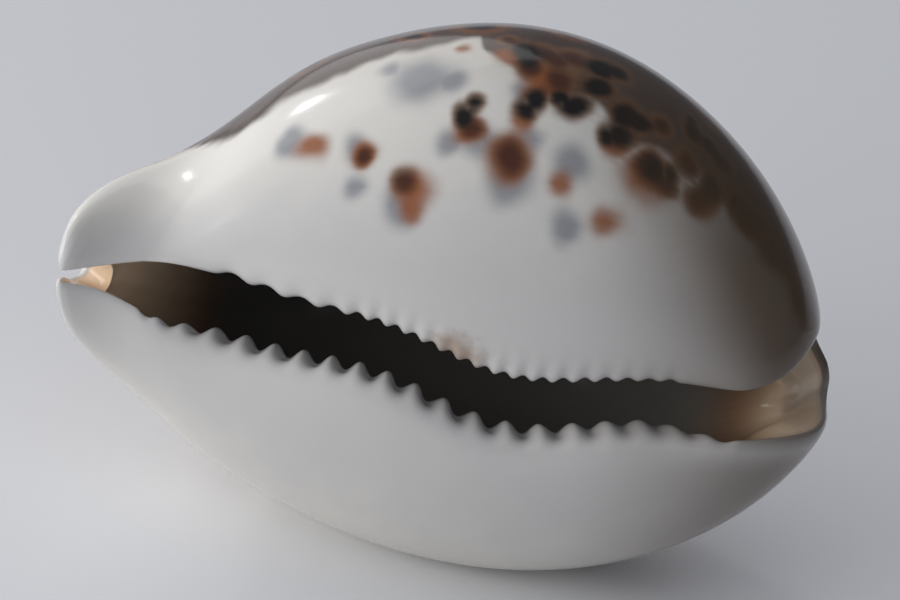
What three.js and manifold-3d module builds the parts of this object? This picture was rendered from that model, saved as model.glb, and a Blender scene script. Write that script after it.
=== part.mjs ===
import * as THREE from 'three';
import Module from 'manifold-3d';

// A cowrie shell, lying on the flank of its outer lip, all sizes in millimetres.
// The shape is worked out in the shell's own frame and turned into the resting pose at the end:
// x runs to the posterior end, y to the outer lip, z to the rounded back; the base faces down z.

// Overall egg, before the canals cut into its ends
const EGG_LENGTH = 92;
const HALF_LENGTH = EGG_LENGTH / 2;
const BACK_HEIGHT = 27.2;
const BACK_TAPER = 0.09;
const SIDE_TAPER = 0.26;

// The two sides of the aperture: the outer lip and the columella
const OUTER = { width: 27, depth: 23, curve: 2.5 };
const INNER = { width: 39, depth: 22.8, curve: 2.3 };
const BACK_CURVE = 2.05;

// The blunt ends: half-widths, rise and drop there, height of their middle, and how fast the egg fills out
const ANTERIOR = {
  outer: 13.5, inner: 11.7, rise: 5.9, drop: 5.5, level: -15.9, fillSide: 4.4, fillBack: 5.3, fillBase: 2.3,
};
const POSTERIOR = {
  outer: 10.8, inner: 13.6, rise: 7.5, drop: 5.2, level: -3.1, fillSide: 4, fillBack: 3.3, fillBase: 2,
};
const COLUMELLA_SHORT = 3.7;
const OUTER_LIP_SHORT = 0.3;
const ANTERIOR_LIP_SHORT = 1.4;
const ANTERIOR_NOTCH = { depth: 3, at: 0, spread: 0.5 };
const POSTERIOR_NOTCH = { depth: 1.2, at: -0.15, spread: 0.3 };
const NOTCH_LENGTH = 0.55;
const NECK = { depth: 6.5, at: -33.4, spread: 6 };

// Middle line of the aperture and its half-width along the shell
const LINE = { middle: -4.4, posterior: 1.3, anterior: 2.6, wave: 1.7, waveLength: 0.9, waveSpread: 0.45 };
const GAP = { middle: 3.15, wide: 0.7, anterior: 1, posterior: 2.4 };
const LIP_BULGE = { by: 0.65, at: 0.3, spread: 0.2 };
const FLARE = { anterior: 1, anteriorLip: 1.4, outer: 1 };
const COLUMELLA_FLARE = { by: 4.8, from: 0.13, to: 0.66, back: 0.4 };

// Rounded lips
const RIM_REACH = 1.45;
const LIP = { radius: 8, endRadius: 1.8, innerEndRadius: 0.3, depth: 7, endDepth: 1 };
// Places along the rim, in the map, where the lips get slim outside and thin inside
const LIP_SLIM = [0.35, 0.9];
const LIP_THIN = [0.2, 0.33];
// First body row's distance from the rim, in the map
const RIM_MARGIN = 0.16;

// Wall between the outside and the hollow
const WALL = { outer: 3, columella: 4.5, back: 2.6, baseOuter: 6, baseColumella: 7, end: 3.6 };
const CANAL = { halfWidth: 3.2, floor: 2.4, top: 5.6, floorShare: 0.28, topShare: 0.52, from: 0.6, to: 0.95 };

// Teeth: first and last along the shell, depth of the grooves between them, and the rows over which the
// grooves fade out on the base and inside
const LIP_TEETH = {
  from: -35.5, to: 33, depth: 1.3, base: [9.3, 10.4], inside: [11.6, 13.4],
};
const COLUMELLA_TEETH = {
  from: -29.6, to: 25, depth: 0.8, base: [8.9, 10.1], inside: [11.4, 13],
};

// Small flat spot the shell rests on
const FLAT_DEPTH = 0.8;

// Mesh steps: rows run from the back over the lip to the roof of the hollow
const BODY_ROWS = [1, 0.9, 0.78, 0.66, 0.54, 0.42, 0.31, 0.21, 0.13];
const LIP_ROWS = [[0.22, 0.02], [-0.04, 0.5], [0.05, 1], [0.42, 1.32]];
const SAMPLES = [1, 2, 2, 2, 2, 2, 2, 2, 3, 2, 2, 1, 1, 1, 1, 1, 1, 1, 1, 1, 1];
const FIRST_FINE = 8;
const LAST_FINE = 13;
const STEPS_PER_TOOTH = 4;
const COARSE_EVERY = 3;
const SMOOTH_LIP_END = 38;
const SMOOTH_LIP_STEPS = 8;
// Columns round each end, crowded towards the lips by this share
const END_STEPS = 33;
const END_CROWDING = 0.75;
const FAR = 1e6;

// 0 below a, 1 above b, with an even bend between; a may be the larger
function smooth(a, b, v) {
  const t = Math.min(Math.max((v - a) / (b - a), 0), 1);
  return t * t * (3 - 2 * t);
}

function bell(v, middle, spread) {
  return Math.exp(-(((v - middle) / spread) ** 2));
}

function signedPower(v, e) {
  return Math.sign(v) * Math.abs(v) ** e;
}

function blend(a, b, f) {
  return a + (b - a) * f;
}

// Width and depth of the egg filling out from its end value to its full value
function fill(end, full, c, power, taper) {
  return end * c + (full - end) * c ** power * (1 + taper);
}

// Middle line of the aperture: y over x
function apertureLine(x) {
  const s = x / HALF_LENGTH;
  const wave = Math.sin((2 * Math.PI * s) / LINE.waveLength) * bell(s, 0, LINE.waveSpread);
  return LINE.middle - LINE.posterior * smooth(-0.1, 1, s) - LINE.anterior * smooth(0.1, -1, s)
    + LINE.wave * wave;
}

function halfGap(x, side) {
  const s = x / HALF_LENGTH;
  let gap = GAP.middle + GAP.wide * bell(s, -0.62, 0.26);
  if (side > 0) gap += LIP_BULGE.by * bell(s, LIP_BULGE.at, LIP_BULGE.spread);
  gap += (GAP.anterior - gap) * smooth(-0.66, -0.96, s);
  return gap + (GAP.posterior - GAP.middle) * smooth(0.4, 0.95, s);
}

// A point of the closed egg, or of the hollow, from the map (X along the shell, Y to the outer lip).
// The map is the unit sphere seen from the top of the back, so its middle is the middle of the base.
function bodyPoint(X, Y, hollow) {
  const r2 = X * X + Y * Y;
  const nx = (2 * X) / (r2 + 1);
  const ny = (2 * Y) / (r2 + 1);
  const nz = (r2 - 1) / (r2 + 1);
  const c = Math.sqrt(Math.max(1 - nx * nx, 1e-12));
  const side = ny >= 0 ? OUTER : INNER;
  const toOuter = smooth(-0.35, 0.35, ny);
  let x = HALF_LENGTH * nx * Math.sqrt(2 - nx * nx);
  const s = x / HALF_LENGTH;
  const end = (key) => blend(ANTERIOR[key], POSTERIOR[key], 0.5 * (1 + s));
  const around = ny / c;
  const down = -nz / c;
  const keep = smooth(0.4, 1, c);
  let middle = apertureLine(x) * (1 - keep);
  let level = end('level') * (1 - keep);
  const neck = NECK.depth * bell(x, NECK.at, NECK.spread);
  let width = fill(end(side === OUTER ? 'outer' : 'inner'), side.width, c, end('fillSide'), SIDE_TAPER * s);
  width -= (side === OUTER ? 0.2 : 0.6) * neck;
  let rise = fill(end('rise'), BACK_HEIGHT, c, end('fillBack'), BACK_TAPER * s) - neck;
  let drop = fill(end('drop'), blend(INNER.depth, OUTER.depth, toOuter), c, end('fillBase'), 0);
  if (hollow) {
    const k = smooth(CANAL.from, CANAL.to, c);
    const wall = side === OUTER ? WALL.outer : WALL.columella;
    const floor = blend(WALL.baseColumella, WALL.baseOuter, toOuter);
    const low = Math.min(CANAL.floor, CANAL.floorShare * (rise + drop));
    const halfHeight = 0.5 * (Math.min(CANAL.top, CANAL.topShare * (rise + drop)) - low);
    level = blend(level - drop + low + halfHeight, level, k);
    width = blend(CANAL.halfWidth, width - wall, k);
    rise = blend(halfHeight, rise - WALL.back, k);
    x *= 1 - WALL.end / HALF_LENGTH;
    drop = blend(halfHeight, drop - floor, k);
    middle = blend(apertureLine(x), middle, k);
  }
  const baseCurve = blend(INNER.curve, OUTER.curve, toOuter);
  const curve = blend(2 / BACK_CURVE, 2 / baseCurve, smooth(-0.35, 0.35, down));
  const y = middle + width * signedPower(around, curve);
  const z = level - (down < 0 ? rise : drop) * signedPower(down, curve);
  // the canals' notches, and the ends of the lobes beside them
  const notch = X < 0 ? ANTERIOR_NOTCH : POSTERIOR_NOTCH;
  const cut = notch.depth * bell(Math.abs(X), RIM_REACH, NOTCH_LENGTH) * bell(Y, notch.at, notch.spread);
  x -= Math.sign(X) * cut;
  const near = smooth(0.45, 1, Math.abs(nx));
  if (X > 0) x -= near * (COLUMELLA_SHORT * smooth(0, -0.35, ny) + OUTER_LIP_SHORT * smooth(0, 0.35, ny));
  else x += near * ANTERIOR_LIP_SHORT * smooth(0, 0.35, ny);
  return new THREE.Vector3(x, y, z);
}

// Point of the aperture's rim in the map for the column angle u (0 posterior, then the outer lip)
function rimPoint(u) {
  const X = RIM_REACH * Math.cos(u);
  const side = Math.sin(u) >= 0 ? 1 : -1;
  const round = Math.sqrt(Math.max(1 - Math.abs(Math.cos(u)) ** 14, 0));
  const { by, from, to, back } = COLUMELLA_FLARE;
  const columellaFlare = by * smooth(from, to, X) * (1 - back * smooth(1, 1.4, X));
  const posteriorFlare = side > 0 ? FLARE.outer * smooth(0.45, 1, X) : columellaFlare;
  const anteriorFlare = (side > 0 ? FLARE.anteriorLip : FLARE.anterior) * smooth(0.62, 1, -X);
  const flare = X < 0 ? anteriorFlare : posteriorFlare;
  let low = -0.9;
  let high = 0.9;
  for (let i = 0; i < 30; i += 1) {
    const Y = 0.5 * (low + high);
    const p = bodyPoint(X, Y, false);
    const wanted = apertureLine(p.x) + side * (halfGap(p.x, side) + flare) * round;
    if (p.y < wanted) low = Y;
    else high = Y;
  }
  return { X, Y: 0.5 * (low + high), side };
}

// Distance between teeth along the shell
function lipPitch(x) {
  const grown = 2.1 + 1.35 * smooth(-38, -25, x) + 0.5 * smooth(-12, 4, x);
  return grown - 0.75 * smooth(22, 32, x);
}

function columellaPitch(x) {
  return 5.1 - 0.9 * smooth(-29, -22, x) - 1.95 * smooth(-18, -9, x) + 0.25 * smooth(8, 18, x);
}

// Places of the teeth, marched from the anterior end
function toothPlaces(teeth, pitch) {
  const places = [teeth.from];
  while (places[places.length - 1] < teeth.to) {
    const last = places[places.length - 1];
    places.push(last + pitch(last + 0.5 * pitch(last)));
  }
  return places;
}

// Column angle of a place along the shell
function angleAt(x) {
  const c = (1 - (x / HALF_LENGTH) ** 2) ** 0.25;
  const X = Math.sign(x) * Math.sqrt((1 - c) / (1 + c));
  return Math.acos(Math.min(Math.max(X / RIM_REACH, -1), 1));
}

// Four columns to a tooth, with the share of the groove's depth at each: crest, flank, groove, flank
function toothedColumns(teeth, pitch) {
  const places = toothPlaces(teeth, pitch);
  const columns = [];
  for (let i = 0; i + 1 < places.length; i += 1) {
    for (let k = 0; k < STEPS_PER_TOOTH; k += 1) {
      const phase = k / STEPS_PER_TOOTH;
      const x = blend(places[i], places[i + 1], phase);
      columns.push({ u: angleAt(x), x, groove: 0.5 - 0.5 * Math.cos(2 * Math.PI * phase) });
    }
  }
  const last = places[places.length - 1];
  columns.push({ u: angleAt(last), x: last, groove: 0 });
  return columns;
}

// Depth of the grooves along each lip: shallow at the ends, full in the middle
function grooveDepth(x, side) {
  if (side < 0) return COLUMELLA_TEETH.depth * smooth(-33, -25, x) * blend(1, 0.5, smooth(16, 25, x));
  return LIP_TEETH.depth * blend(0.35, 1, smooth(-38, -22, x)) * blend(1, 0.35, smooth(6, 30, x));
}

// Angles round one end, between the last columns of the two lips
function endColumns(from, to, steps) {
  const columns = [];
  for (let k = 1; k < steps; k += 1) {
    const t = k / steps;
    columns.push({ u: blend(from, to, blend(t, smooth(0, 1, t), END_CROWDING)), x: 0, groove: 0 });
  }
  return columns;
}

// All columns: outer lip towards the anterior end, round it, back along the columella, and round the
// posterior end
function allColumns() {
  const outer = toothedColumns(LIP_TEETH, lipPitch).reverse();
  const inner = toothedColumns(COLUMELLA_TEETH, columellaPitch);
  const lastTooth = inner[inner.length - 1].x;
  for (let k = 1; k <= SMOOTH_LIP_STEPS; k += 1) {
    const x = blend(lastTooth, SMOOTH_LIP_END, k / SMOOTH_LIP_STEPS);
    inner.push({ u: angleAt(x), x, groove: 0 });
  }
  for (const column of inner) column.u = 2 * Math.PI - column.u;
  const anterior = endColumns(outer[outer.length - 1].u, inner[0].u, END_STEPS);
  const last = inner[inner.length - 1].u;
  const left = (outer.length + anterior.length + inner.length + END_STEPS - 1) % COARSE_EVERY;
  const steps = END_STEPS + (left === 0 ? 0 : COARSE_EVERY - left);
  const posterior = endColumns(last, outer[0].u + 2 * Math.PI, steps);
  return [...outer, ...anterior, ...inner, ...posterior];
}

// Even out a closed ring of directions
function relax(ring) {
  const n = ring.length;
  return ring.map((v, i) => v.clone().multiplyScalar(0.5)
    .addScaledVector(ring[(i + 1) % n], 0.25)
    .addScaledVector(ring[(i + n - 1) % n], 0.25));
}

function across(v, n) {
  return v.clone().addScaledVector(n, -v.dot(n)).normalize();
}

// Control rows over all columns, from the top of the back over the lip to the roof of the hollow
function controlRows(columns) {
  const start = Math.exp(-RIM_MARGIN);
  const k = RIM_REACH / Math.cosh(RIM_MARGIN);
  const rims = columns.map((column) => rimPoint(column.u));
  const onEllipse = (m, u) => [0.5 * k * (1 / m + m) * Math.cos(u), 0.5 * k * (1 / m - m) * Math.sin(u)];
  const place = (v, i) => {
    if (v >= 1) return [FAR, 0];
    const m = start * (1 - v);
    const [X, Y] = onEllipse(m, columns[i].u);
    const [X0, Y0] = onEllipse(start, columns[i].u);
    const f = (m / start) ** 4;
    return [X + (rims[i].X - X0) * f, Y + (rims[i].Y - Y0) * f];
  };
  const rowAt = (v, hollow) => columns.map((column, i) => bodyPoint(...place(v, i), hollow));
  const edge = rims.map((rim) => bodyPoint(rim.X, rim.Y, false));
  const step = 1e-3;
  let inward = rims.map((rim, i) => {
    const alongX = bodyPoint(rim.X + step, rim.Y, false).sub(bodyPoint(rim.X - step, rim.Y, false));
    const alongY = bodyPoint(rim.X, rim.Y + 2 * step * rim.side, false).sub(edge[i]);
    return alongX.cross(alongY).multiplyScalar(rim.side).normalize();
  });
  let back = rowAt(0.15, false).map((p, i) => across(p.sub(edge[i]), inward[i]));
  inward = relax(relax(inward)).map((v) => v.normalize());
  back = relax(relax(back)).map((v, i) => across(v, inward[i]));
  const lip = LIP_ROWS.map(([out, deep], row) => edge.map((p, i) => {
    const canal = smooth(...LIP_THIN, Math.abs(rims[i].X));
    const outerRadius = blend(LIP.radius, LIP.endRadius, smooth(...LIP_SLIM, Math.abs(rims[i].X)));
    const radius = row < 2 ? outerRadius : blend(LIP.radius, LIP.innerEndRadius, canal);
    const depth = blend(LIP.depth, LIP.endDepth, canal);
    return p.clone().addScaledVector(back[i], out * radius).addScaledVector(inward[i], deep * depth);
  }));
  const outside = BODY_ROWS.map((v) => rowAt(v, false));
  const hollow = BODY_ROWS.map((v) => rowAt(v, true)).reverse();
  return [...outside, ...lip, ...hollow];
}

// The row next to a pole, mirrored through it, so that the curve runs level over the pole
function mirrored(pole, next) {
  return next.map((p, i) => new THREE.Vector3(2 * pole[i].x - p.x, 2 * pole[i].y - p.y, p.z));
}

// Smooth rows through the control rows (uniform cubic B-spline along every column)
function smoothRows(control) {
  const last = control.length - 1;
  const rows = [mirrored(control[0], control[1]), ...control, mirrored(control[last], control[last - 1])];
  const out = [];
  const at = (i, t) => {
    const weights = [
      (1 - t) ** 3 / 6,
      (3 * t ** 3 - 6 * t * t + 4) / 6,
      (-3 * t ** 3 + 3 * t * t + 3 * t + 1) / 6,
      t ** 3 / 6,
    ];
    return rows[i].map((unused, j) => {
      const p = new THREE.Vector3();
      weights.forEach((w, q) => p.addScaledVector(rows[i + q][j], w));
      return p;
    });
  };
  SAMPLES.forEach((count, i) => {
    for (let k = 0; k < count; k += 1) out.push({ r: i + k / count, points: at(i, k / count) });
  });
  out.push({ r: SAMPLES.length, points: at(SAMPLES.length - 1, 1) });
  return out;
}

// Sink the grooves along the surface's own normal, which leaves the teeth standing
function sinkGrooves(rows, columns) {
  const n = columns.length;
  const sunk = rows.map((row, i) => row.points.map((p, j) => {
    const side = Math.sin(columns[j].u) >= 0 ? 1 : -1;
    const teeth = side > 0 ? LIP_TEETH : COLUMELLA_TEETH;
    const reach = smooth(...teeth.base, row.r) * smooth(teeth.inside[1], teeth.inside[0], row.r);
    const depth = reach * columns[j].groove * grooveDepth(columns[j].x, side);
    if (depth === 0) return null;
    const along = rows[i + 1].points[j].clone().sub(rows[i - 1].points[j]);
    const over = row.points[(j + 1) % n].clone().sub(row.points[(j + n - 1) % n]);
    return over.cross(along).normalize().multiplyScalar(depth);
  }));
  rows.forEach((row, i) => row.points.forEach((p, j) => {
    if (sunk[i][j]) p.add(sunk[i][j]);
  }));
}

// Join two rings; where a ring of every third column meets a full one, four triangles fill each step
function joinRings(a, b, triangles) {
  if (a.length === b.length) {
    a.forEach((p, j) => {
      const q = (j + 1) % a.length;
      triangles.push(p, b[j], b[q], p, b[q], a[q]);
    });
    return;
  }
  const turned = a.length > b.length;
  const coarse = turned ? b : a;
  const fine = turned ? a : b;
  const add = (p, q, s) => (turned ? triangles.push(p, s, q) : triangles.push(p, q, s));
  coarse.forEach((p, j) => {
    const f = COARSE_EVERY * j;
    const next = coarse[(j + 1) % coarse.length];
    const end = fine[(f + COARSE_EVERY) % fine.length];
    add(p, fine[f], fine[f + 1]);
    add(p, fine[f + 1], fine[f + 2]);
    add(p, fine[f + 2], next);
    add(next, fine[f + 2], end);
  });
}

// Shell frame to the resting pose: the back faces +Y, the base and its aperture face -Y
function resting(p) {
  return [p.x, p.z, -p.y];
}

// One closed mesh of the whole wall
function wallMesh() {
  const columns = allColumns();
  const rows = smoothRows(controlRows(columns));
  sinkGrooves(rows, columns);
  const positions = [];
  const triangles = [];
  const add = (p) => positions.push(...resting(p)) / 3 - 1;
  const mean = (points) => points.reduce((sum, p) => sum.add(p), new THREE.Vector3())
    .multiplyScalar(1 / points.length);
  const rings = rows.slice(1, -1).map((row) => {
    const fine = row.r >= FIRST_FINE && row.r <= LAST_FINE;
    return row.points.filter((p, j) => fine || j % COARSE_EVERY === 0).map(add);
  });
  const top = add(mean(rows[0].points));
  const roof = add(mean(rows[rows.length - 1].points));
  for (let i = 0; i + 1 < rings.length; i += 1) joinRings(rings[i], rings[i + 1], triangles);
  const first = rings[0];
  const last = rings[rings.length - 1];
  first.forEach((p, j) => triangles.push(top, p, first[(j + 1) % first.length]));
  last.forEach((p, j) => triangles.push(roof, last[(j + 1) % last.length], p));
  return { positions, triangles };
}

// Cut the resting spot, put it at the height of the ground and centre the box over the origin
function restedGeometry(wasm) {
  const { positions, triangles } = wallMesh();
  const mesh = new wasm.Mesh({
    numProp: 3, vertProperties: new Float32Array(positions), triVerts: new Uint32Array(triangles),
  });
  const whole = new wasm.Manifold(mesh);
  const box = whole.boundingBox();
  const middle = (i) => 0.5 * (box.min[i] + box.max[i]);
  const placed = whole.translate([-middle(0), -middle(1), -(box.min[2] + FLAT_DEPTH)]);
  const cut = placed.trimByPlane([0, 0, 1], 0).getMesh();
  const geometry = new THREE.BufferGeometry();
  geometry.setAttribute('position', new THREE.BufferAttribute(new Float32Array(cut.vertProperties), 3));
  geometry.setIndex(new THREE.BufferAttribute(new Uint32Array(cut.triVerts), 1));
  geometry.computeVertexNormals();
  return geometry;
}

// Glossy enamel of the shell
function enamel() {
  return new THREE.MeshStandardMaterial({ name: 'enamel', color: 0xc9c4b8, roughness: 0.22, metalness: 0 });
}

function shell(wasm) {
  const mesh = new THREE.Mesh(restedGeometry(wasm), enamel());
  mesh.name = 'shell';
  return mesh;
}

const wasm = await Module();
wasm.setup();

const group = new THREE.Group();
group.name = 'cowrie_shell';
group.add(shell(wasm));

export default group;
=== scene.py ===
"""A cowrie shell with a spotted, glossy back, lying on the flank of its outer lip.

The shell is worked out in its own frame, in millimetres: x runs to the posterior end, y to the outer lip
and z to the rounded back. It is then turned into the row frame, in metres, where it lies at rest.
"""
import logging
import math
from dataclasses import dataclass, field
from enum import Enum
from typing import Callable, Dict, List, Sequence, Tuple

import bpy
import numpy as np
from mathutils import Matrix, Vector


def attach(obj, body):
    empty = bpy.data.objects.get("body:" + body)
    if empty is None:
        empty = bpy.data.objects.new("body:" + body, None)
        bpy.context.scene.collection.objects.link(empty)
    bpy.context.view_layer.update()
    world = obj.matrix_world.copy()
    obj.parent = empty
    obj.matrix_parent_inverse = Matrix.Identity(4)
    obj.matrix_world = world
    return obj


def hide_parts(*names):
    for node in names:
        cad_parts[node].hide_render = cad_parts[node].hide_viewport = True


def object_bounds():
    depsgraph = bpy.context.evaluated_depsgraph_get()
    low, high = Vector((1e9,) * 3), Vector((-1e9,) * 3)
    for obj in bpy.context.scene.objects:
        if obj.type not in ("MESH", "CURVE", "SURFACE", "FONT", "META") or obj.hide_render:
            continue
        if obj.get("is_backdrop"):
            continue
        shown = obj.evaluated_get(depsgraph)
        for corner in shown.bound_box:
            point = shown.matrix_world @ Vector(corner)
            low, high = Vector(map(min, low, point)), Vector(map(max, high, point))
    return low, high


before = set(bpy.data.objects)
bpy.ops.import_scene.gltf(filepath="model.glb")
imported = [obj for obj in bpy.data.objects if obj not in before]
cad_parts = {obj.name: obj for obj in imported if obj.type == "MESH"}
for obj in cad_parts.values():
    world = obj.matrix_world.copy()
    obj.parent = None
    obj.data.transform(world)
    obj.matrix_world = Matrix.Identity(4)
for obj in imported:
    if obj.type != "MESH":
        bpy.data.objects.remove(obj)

log = logging.getLogger("cowrie")

NODE = "shell"
MM = 0.001
FAR = 1e6


class Field(str, Enum):
    """Values that the shell's vertices carry for its teeth and its material."""

    TURNS = "turns"
    GROOVE = "groove"
    ROW = "row"
    DARK = "dark"
    BROWN = "brown"
    RUST = "rust"
    HAZE = "haze"
    SHADE = "shade"
    # Painted shade: darker and browner towards the posterior end, where less light falls.
    TINT = "tint"
    STAIN = "stain"
    # Painted light: the ends of the aperture, whose inside is coloured lighter instead of dark.
    AMBER = "amber"
    # Painted light: the open tips of the canals, coloured bright beige.
    INNERMOST = "canal_end"


class Mark(Enum):
    """Kinds of marking on the back."""

    DARK = Field.DARK
    BROWN = Field.BROWN
    RUST = Field.RUST
    HAZE = Field.HAZE


@dataclass(frozen=True)
class Side:
    """One side of the aperture: the outer lip or the columella."""

    width: float
    depth: float
    curve: float


@dataclass(frozen=True)
class End:
    """A blunt end: half-widths, rise and drop there, its level, and how fast the egg fills out from it."""

    outer: float
    inner: float
    rise: float
    drop: float
    level: float
    fill_side: float
    fill_back: float
    fill_base: float


@dataclass(frozen=True)
class Teeth:
    """Teeth of one lip: first and last place, groove depth, and the rows over which grooves fade out."""

    start: float
    stop: float
    depth: float
    base: Tuple[float, float]
    inside: Tuple[float, float]


@dataclass(frozen=True)
class Line:
    """Middle line of the aperture: its place in the middle, its shift at each end, and its wave."""

    middle: float = -4.4
    posterior: float = 1.3
    anterior: float = 2.6
    wave: float = 1.7
    wave_length: float = 0.9
    wave_spread: float = 0.45


@dataclass(frozen=True)
class Gap:
    """Half-width of the aperture in the middle, where it is widest and at the ends; the lip's bulge."""

    middle: float = 3.15
    wide: float = 0.7
    anterior: float = 1.0
    narrower: float = 0.75
    bulge: float = 0.65


@dataclass(frozen=True)
class Wall:
    """Thickness of the wall between the outside and the hollow."""

    outer: float = 3.0
    columella: float = 4.5
    back: float = 2.6
    base_outer: float = 6.0
    base_columella: float = 7.0
    end: float = 3.6


@dataclass(frozen=True)
class Canal:
    """The canals: half-width, heights above the base, their largest shares of it, and where they end."""

    half_width: float = 3.2
    floor: float = 2.4
    top: float = 5.6
    floor_share: float = 0.28
    top_share: float = 0.52
    ends: Tuple[float, float] = (0.6, 0.95)


@dataclass(frozen=True)
class Bell:
    """A local change: its depth in millimetres, and its place and spread along the shell or its map."""

    depth: float
    at: float
    spread: float


@dataclass(frozen=True)
class Flare:
    """How far the aperture widens at the ends, in millimetres."""

    anterior: float = 1.0
    anterior_lip: float = 1.4
    outer: float = 1.0
    columella: float = 4.8


@dataclass(frozen=True)
class Form:
    """Driving sizes of the shell, in millimetres."""

    length: float = 92.0
    back_height: float = 27.2
    back_taper: float = 0.09
    side_taper: float = 0.26
    back_curve: float = 2.05
    outer: Side = Side(27.0, 23.0, 2.5)
    columella: Side = Side(39.0, 22.8, 2.3)
    anterior: End = End(13.5, 11.7, 5.9, 5.5, -15.9, 4.4, 5.3, 2.3)
    posterior: End = End(10.8, 13.6, 7.5, 5.2, -3.1, 4.0, 3.3, 2.0)
    columella_short: float = 3.7
    outer_lip_short: float = 0.3
    anterior_lip_short: float = 1.4
    neck: Bell = Bell(6.5, -33.4, 6.0)
    anterior_notch: Bell = Bell(3.0, 0.0, 0.5)
    posterior_notch: Bell = Bell(1.2, -0.15, 0.3)
    notch_length: float = 0.55
    line: Line = Line()
    gap: Gap = Gap()
    flare: Flare = Flare()
    wall: Wall = Wall()
    canal: Canal = Canal()
    rim_reach: float = 1.45
    rim_margin: float = 0.16
    lip_radius: Tuple[float, float] = (8.0, 1.8)
    inner_radius: Tuple[float, float] = (8.0, 0.3)
    lip_depth: Tuple[float, float] = (7.0, 1.0)
    lip_slim: Tuple[float, float] = (0.35, 0.9)
    lip_thin: Tuple[float, float] = (0.2, 0.33)
    flat_depth: float = 0.8
    lip_teeth: Teeth = Teeth(-35.5, 33.0, 1.3, (9.3, 10.4), (11.6, 13.4))
    columella_teeth: Teeth = Teeth(-29.6, 25.0, 0.8, (8.9, 10.1), (11.4, 13.0))

    @property
    def half(self) -> float:
        """Half the egg's length."""
        return self.length / 2


@dataclass(frozen=True)
class Detail:
    """How finely the surface is sampled."""

    lip_columns: int = 232
    end_columns: int = 50
    crowding: float = 0.6
    toothed_to: float = 37.0
    outside: int = 10
    lip: int = 9
    hollow: int = 3


def smooth(a: float, b: float, v):
    """Returns 0 below a and 1 above b, with an even bend between; a may be the larger."""
    t = np.clip((v - a) / (b - a), 0, 1)
    return t * t * (3 - 2 * t)


def bell(v, middle: float, spread: float):
    """Returns a bell curve of height 1."""
    return np.exp(-((v - middle) / spread) ** 2)


def signed_power(v, e):
    """Returns |v| to the power e, with v's sign."""
    return np.sign(v) * np.abs(v) ** e


def mix(a, b, f):
    """Returns a at f = 0 and b at f = 1."""
    return a + (b - a) * f


def unit(v: np.ndarray) -> np.ndarray:
    """Returns the vectors at length 1."""
    return v / np.linalg.norm(v, axis=-1, keepdims=True)


def resting(points: np.ndarray) -> np.ndarray:
    """Turns points from the shell frame to the resting pose: the back faces +Y, the aperture -Y."""
    return np.stack([points[..., 0], points[..., 2], -points[..., 1]], -1)


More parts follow.
